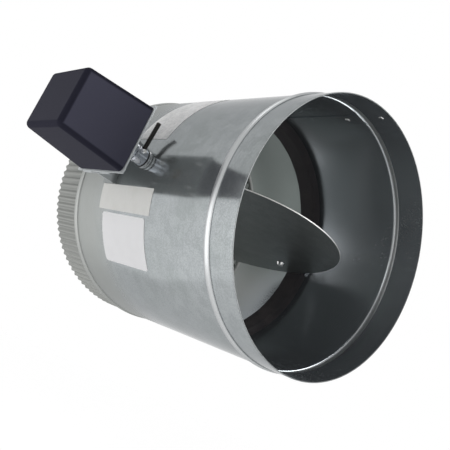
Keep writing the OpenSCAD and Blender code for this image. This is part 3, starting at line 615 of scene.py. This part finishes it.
# The thread crests are worn and painted lighter, which also gives painted glints.
rod_black, rod_place = new_finish("rod_black", {"Metallic": 0.6})
from_foot = away_from(rod_place, ROD_FOOT)
reach = length_of(from_foot)
along = from_foot.node("VectorMath", {"operation": "DOT_PRODUCT"},
                       {0: from_foot, 1: rod_way}, out="Value")
crest = ramp(reach * reach - along * along, THREAD_SHINE_FROM ** 2, ROD_CREST ** 2)
connect(rod_black, {
    "Base Color": colour_mix(crest, BLACK_STEEL, ROD_CREST_WEAR_AND_GLINT),
    "Roughness": 0.45 - crest * 0.2,
    "Normal": relief(noise(rod_place, scale=900, detail=3), strength=0.2, distance=0.0001),
})
rod = piece("threaded_rod", rod_shape, rod_black, crease=30)
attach(rod, "blade_assembly")
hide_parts("stop_rod")

# Mounting bracket: folded galvanised sheet, with a plate under the motor, a
# leg, and a foot rolled to the duct and held by three self-drilling screws.
# The bracket's zinc is painted lighter than the duct's, as painted light on its shaded plate, leg and lip.
BRACKET_ZINC = (0.43, 0.45, 0.46, 1)
BRACKET_DULL = (0.39, 0.41, 0.42, 1)
BRACKET_BRIGHT = (0.48, 0.50, 0.51, 1)
FOOT_BY = DUCT_RADIUS + 0.002
LEG_FROM = DUCT_RADIUS + 0.007


def foot(place):
    """1 on the foot, which keeps a darker tone like the duct's."""
    return 1 - ramp(from_axis(place), FOOT_BY, LEG_FROM)


bracket_zinc = galvanised("bracket_zinc", (BRACKET_ZINC, BRACKET_DULL, BRACKET_BRIGHT),
                          roughness=0.5, spangle_scale=170,
                          patches=[(foot, ZINC_DULL, 1.0, -0.1)])
dress("mounting_bracket", bracket_zinc)
dress("bracket_screws", shaft_steel)

# Gearmotor: a small can motor on a gear plate with four posts, whose pinion
# drives a moulded idler and a moulded output gear on the drive shaft.
CAN_STEEL = (0.40, 0.40, 0.40, 1)
CAN_WORN = (0.24, 0.24, 0.24, 1)
MOULDED_WHITE = (0.62, 0.60, 0.55, 1)
MOULDED_SHADE = (0.50, 0.47, 0.41, 1)
BRONZE = (0.48, 0.30, 0.12, 1)
BRONZE_WORN = (0.25, 0.15, 0.07, 1)

bronze = steel("sintered_bronze", BRONZE, BRONZE_WORN, roughness=0.42, scale=600)
white_plastic = moulded("gear_plastic", MOULDED_WHITE, MOULDED_SHADE, roughness=0.45)
can_steel = steel("can_steel", CAN_STEEL, CAN_WORN, roughness=0.35)
GEARMOTOR = [
    (can_steel, ("motor_can", "gear_posts", "idler_arbor", "drive_shaft")),
    (white_plastic, ("output_gear", "idler_gear", "switch_cam")),
    (bronze, ("output_bushing", "motor_pinion")),
    (screw_zinc, ("plate_screws", "motor_screws")),
    (bracket_zinc, ("gear_plate",)),
]
for finish, nodes in GEARMOTOR:
    for node in nodes:
        dress(node, finish)

# Switches and terminals: two small limit switches worked by the cam, and a
# green terminal block for the supply, whose cable would enter at the grommet.
SWITCH_BLACK = (0.022, 0.022, 0.024, 1)
SWITCH_SHADE = (0.034, 0.034, 0.036, 1)
TERMINAL_GREEN = (0.020, 0.120, 0.055, 1)
TERMINAL_SHADE = (0.028, 0.145, 0.070, 1)
switch_plastic = moulded("switch_plastic", SWITCH_BLACK, SWITCH_SHADE, roughness=0.5)
dress("limit_switches", switch_plastic)
terminal_plastic = moulded("terminal_plastic", TERMINAL_GREEN, TERMINAL_SHADE, roughness=0.5)
dress("terminal_block", terminal_plastic)
dress("terminal_screws", screw_zinc)
grommet_rubber = moulded("grommet_rubber", SWITCH_BLACK, SWITCH_SHADE, roughness=0.7)
dress("wire_grommet", grommet_rubber)

# Cover: a deep moulded box of black plastic over the gearmotor, drafted toward
# its closed end and held from below by two screws.
COVER_BLACK = (0.031, 0.031, 0.042, 1)
COVER_SHADE = (0.038, 0.038, 0.050, 1)
# Painted sheen on the cover's face toward the open end.
COVER_PAINTED_SHEEN = (0.058, 0.058, 0.082, 1)
# Painted shade on the cover's rounded edges.
COVER_EDGE_SHADE = (0.018, 0.018, 0.028, 1)
cover_low, cover_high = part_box("cover")
COVER_BASE_Y = cover_high.y
COVER_END_Y = cover_low.y
COVER_HALF_X = (cover_high.x - cover_low.x) / 2
COVER_HALF_Z = cover_high.z
COVER_DRAFT = 0.133
COVER_ROUND = 0.005
SHEEN_FROM = COVER_ROUND * 0.1
SHEEN_TO = COVER_ROUND * 0.3
EDGE_FROM = COVER_ROUND * 0.6


def drafted(y):
    """The cover's width there, as a share of its width at the plate."""
    return 1 - (COVER_BASE_Y - y) * (COVER_DRAFT / (COVER_BASE_Y - COVER_END_Y))


def front_face(place):
    """1 on the cover's face toward the open end, which is painted lighter as a painted sheen."""
    x, shrink = part_of(place, "X") - SHAFT_X, drafted(part_of(place, "Y"))
    return 1 - ramp(COVER_HALF_X * shrink - x, SHEEN_FROM, SHEEN_TO)


def rounded_edges(place):
    """1 on the cover's rounded edges, where two of its drafted faces are both near. They are painted darker as
    painted shade.
    """
    x, y, z = part_of(place, "X") - SHAFT_X, part_of(place, "Y"), part_of(place, "Z")
    shrink = drafted(y)
    side = COVER_HALF_X * shrink - x.maths("ABSOLUTE", x, 0)
    top = COVER_HALF_Z * shrink - z.maths("ABSOLUTE", z, 0)
    end = y - COVER_END_Y
    nearer, farther = side.maths("MINIMUM", side, top), side.maths("MAXIMUM", side, top)
    second = end.maths("MAXIMUM", nearer, farther.maths("MINIMUM", farther, end))
    return 1 - ramp(second, EDGE_FROM, COVER_ROUND)


# The face toward the open end carries a painted sheen, and the rounded edges painted shade.
COVER_PATCHES = [(front_face, COVER_PAINTED_SHEEN), (rounded_edges, COVER_EDGE_SHADE)]
dress("cover", moulded("cover_plastic", COVER_BLACK, COVER_SHADE, roughness=0.6, bump=0.3,
                       scale=520, bending=1.1, patches=COVER_PATCHES))
dress("cover_screws", screw_zinc)

# Labels: three blank paper labels stuck to the sheet, one narrow, one nearly
# square under it, and a larger thin one round the top. Nothing is printed on them.
PAPER = (0.50, 0.50, 0.486, 1)
PAPER_SHADE = (0.46, 0.46, 0.44, 1)
PAPER_WHITE = (0.565, 0.565, 0.575, 1)
PAPER_WHITE_SHADE = (0.54, 0.54, 0.55, 1)
PAPER_GREY = (0.84, 0.84, 0.84, 1)
PAPER_GREY_SHADE = (0.62, 0.625, 0.63, 1)
LABEL_STEPS = 20
LABEL_CORNER_STEPS = 5
LABEL_THICK = 0.00018
LABEL_RIPPLE = 0.00006
LABEL_RIPPLE_SCALE = 60


def paper(name, plain, shade, roughness, wrinkling_and_shade):
    """Coated label paper with a soft fibre, a little grime and fine creases, bumped and painted darker as painted
    shade.
    """
    finish, place = new_finish(name, {"Metallic": 0.0})
    fibre = noise(place, scale=900, detail=3)
    grime = ramp(noise(place, scale=60, detail=4), 0.4, 0.7)
    wrinkles_and_shade = ramp(noise(place, scale=330, detail=4), 0.42, 0.60)
    height = fibre * 0.4 + wrinkles_and_shade * wrinkling_and_shade
    connect(finish, {
        "Base Color": colour_mix(grime * 0.6 + wrinkles_and_shade * wrinkling_and_shade, plain, shade),
        "Roughness": roughness + (fibre - 0.5) * 0.1,
        "Normal": relief(height, strength=0.3, distance=0.0003),
    })
    return finish


def slice_across(shape, point, way):
    """Cuts a shape's faces along a plane, and keeps both sides."""
    bmesh.ops.bisect_plane(shape, geom=shape.verts[:] + shape.edges[:] + shape.faces[:],
                           plane_co=point, plane_no=way)


def label_sheet(front, rear, low, high, corner):
    """A thin sheet with round corners, cut flat, thickened and wrapped on the duct."""
    shape = bmesh.new()
    bottom, top = math.radians(low) * DUCT_RADIUS, math.radians(high) * DUCT_RADIUS
    corners = [(front, bottom), (front, top), (rear, top), (rear, bottom)]
    shape.faces.new([shape.verts.new((x, along, 0)) for x, along in corners])
    bmesh.ops.bevel(shape, geom=shape.verts[:], affect="VERTICES", offset=corner,
                    segments=LABEL_CORNER_STEPS, profile=0.5, material=-1)
    for step in range(1, LABEL_STEPS):
        share = step / LABEL_STEPS
        slice_across(shape, (0, bottom + (top - bottom) * share, 0), (0, 1, 0))
        slice_across(shape, (rear + (front - rear) * share, 0, 0), (1, 0, 0))
    bmesh.ops.recalc_face_normals(shape, faces=shape.faces)
    bmesh.ops.solidify(shape, geom=shape.faces[:], thickness=LABEL_THICK)
    lowest = min(vert.co.z for vert in shape.verts)
    for vert in shape.verts:
        turn = vert.co.y / DUCT_RADIUS
        reach = DUCT_RADIUS + vert.co.z - lowest
        if vert.co.z > lowest:
            flat = Vector((vert.co.x, vert.co.y, 0))
            reach += LABEL_RIPPLE * (0.5 + bumps.noise(flat * LABEL_RIPPLE_SCALE))
        vert.co = (vert.co.x, -reach * math.cos(turn), reach * math.sin(turn))
    bmesh.ops.recalc_face_normals(shape, faces=shape.faces)
    return shape


# Node, lower and upper edge in degrees round the duct and corner radius, then
# colours, roughness and crease depth with its painted shade. The node's box gives the front and rear edges.
LABELS = [
    ("narrow_label", (-23.03, -11.76, 0.0008), (PAPER, PAPER_SHADE), 0.5, 0.2),
    ("square_label", (-46.49, -24.30, 0.0030), (PAPER_WHITE, PAPER_WHITE_SHADE), 0.45, 0.1),
    ("upper_label", (11.43, 51.57, 0.0020), (PAPER_GREY, PAPER_GREY_SHADE), 0.4, 0.6),
]
for node, cut_to, (plain, shade), roughness, wrinkling_and_shade in LABELS:
    coat = paper("coat_" + node, plain, shade, roughness, wrinkling_and_shade)
    label_low, label_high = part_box(node)
    sheet = piece("paper_" + node, label_sheet(label_high.x, label_low.x, *cut_to), coat)
    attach(sheet, "housing")
    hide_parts(node)

# Floor: a plain pale studio floor well below the part, which hangs in its duct
# line. It takes the part's shadow.
FLOOR_Z = -0.80
FLOOR_RADIUS = 8.0
FLOOR_STEPS = 96
FLOOR_PALE = (0.80, 0.80, 0.80, 1)
FLOOR_LIFT = (0.67, 0.67, 0.67, 1)
NO_GLOW = (0, 0, 0, 1)


def seen_directly(wire):
    """1 for camera, glossy and transmission rays, and 0 for the light on the part."""
    rays = [wire.node("LightPath", {}, {}, out=name)
            for name in ("Is Camera Ray", "Is Glossy Ray", "Is Transmission Ray")]
    return wire.maths("MINIMUM", rays[0] + rays[1] + rays[2], 1.0)


floor_mesh = bpy.data.meshes.new("floor")
floor_shape = bmesh.new()
bmesh.ops.create_circle(floor_shape, cap_ends=True, radius=FLOOR_RADIUS,
                        segments=FLOOR_STEPS)
bmesh.ops.translate(floor_shape, vec=(0, 0, FLOOR_Z), verts=floor_shape.verts)
floor_shape.to_mesh(floor_mesh)
floor_shape.free()
floor = bpy.data.objects.new("floor", floor_mesh)
bpy.context.scene.collection.objects.link(floor)
floor_paint, floor_place = new_finish("floor_paint", {
    "Base Color": FLOOR_PALE, "Roughness": 0.9, "Specular IOR Level": 0.1,
    "Emission Strength": 1.0})
connect(floor_paint, {
    "Emission Color": colour_mix(seen_directly(floor_place), NO_GLOW, FLOOR_LIFT),
})
floor_mesh.materials.append(floor_paint)

# Light: a white room, seen brighter than it shines, with soft boxes near the lens,
# to the right, below on the crimped side, below in front and overhead. Their soft
# shapes are what the sheet mirrors.
ROOM_LIGHT = 0.38
ROOM_WHITE = (1, 1, 1, 1)
world = bpy.data.worlds.new("room")
bpy.context.scene.world = world
world.use_nodes = True
world_shader = world.node_tree.nodes["Background"]
room = Wire(world.node_tree, world_shader.inputs["Color"])
level = ROOM_LIGHT + (1 - ROOM_LIGHT) * seen_directly(room)
world.node_tree.links.new(level.socket, world_shader.inputs["Strength"])
world_shader.inputs["Color"].default_value = ROOM_WHITE


def soft_box(name, place, aim, width, height, glow):
    """A rectangular lamp whose face shows in metal at the given glow."""
    lamp = bpy.data.lights.new(name, "AREA")
    lamp.shape = "RECTANGLE"
    lamp.size, lamp.size_y = width, height
    lamp.energy = glow * math.pi * width * height
    holder = bpy.data.objects.new(name, lamp)
    holder.location = place
    holder.rotation_euler = (Vector(aim) - Vector(place)).to_track_quat("-Z", "Y").to_euler()
    holder.visible_camera = False
    bpy.context.scene.collection.objects.link(holder)


# Name, place, aim, width, height and glow. The side box is three in one place, so
# that its glow falls off in steps toward its edges.
SOFT_BOXES = [
    ("lens_box", (1.00, -0.95, 0.13), (-0.18, -0.15, 0.0), 0.5, 0.5, 1.2),
    ("right_box", (0.88, 0.60, 0.29), (-0.10, -0.15, 0.0), 0.7, 0.7, 7.0),
    ("side_box_small", (-0.90, -0.60, -0.50), (-0.05, -0.10, -0.05), 0.30, 0.30, 0.48),
    ("side_box_middle", (-0.90, -0.60, -0.50), (-0.05, -0.10, -0.05), 0.60, 0.60, 0.48),
    ("side_box_large", (-0.90, -0.60, -0.50), (-0.05, -0.10, -0.05), 1.0, 1.0, 0.48),
    ("front_box", (-0.15, -0.80, -0.45), (-0.03, -0.11, -0.05), 1.15, 0.7, 2.0),
    ("top_box", (-0.52, -0.49, 1.32), (-0.03, -0.11, 0.06), 0.7, 0.8, 2.0),
]
for box in SOFT_BOXES:
    soft_box(*box)

# Camera: a plain lens at the photographed angle, a little below the shaft's
# level and toward the open end.
CAMERA_PLACE = (0.3351, -0.4002, -0.1473)
CAMERA_RIGHT = (0.6450, 0.6469, 0.4068)
CAMERA_UP = (-0.1080, -0.4498, 0.8866)
CAMERA_BACK = (0.7565, -0.6158, -0.2202)
CAMERA_LENS = 48.61
CAMERA_SENSOR = 36.0
CAMERA_NEAREST = 0.01

camera = bpy.data.objects.new("camera", bpy.data.cameras.new("camera"))
camera.data.sensor_width = CAMERA_SENSOR
camera.data.lens = CAMERA_LENS
camera.data.clip_start = CAMERA_NEAREST
camera.location = CAMERA_PLACE
camera_axes = Matrix((CAMERA_RIGHT, CAMERA_UP, CAMERA_BACK)).transposed()
camera.rotation_euler = camera_axes.to_euler()
bpy.context.scene.collection.objects.link(camera)
bpy.context.scene.camera = camera
bpy.context.scene.view_settings.view_transform = "Standard"
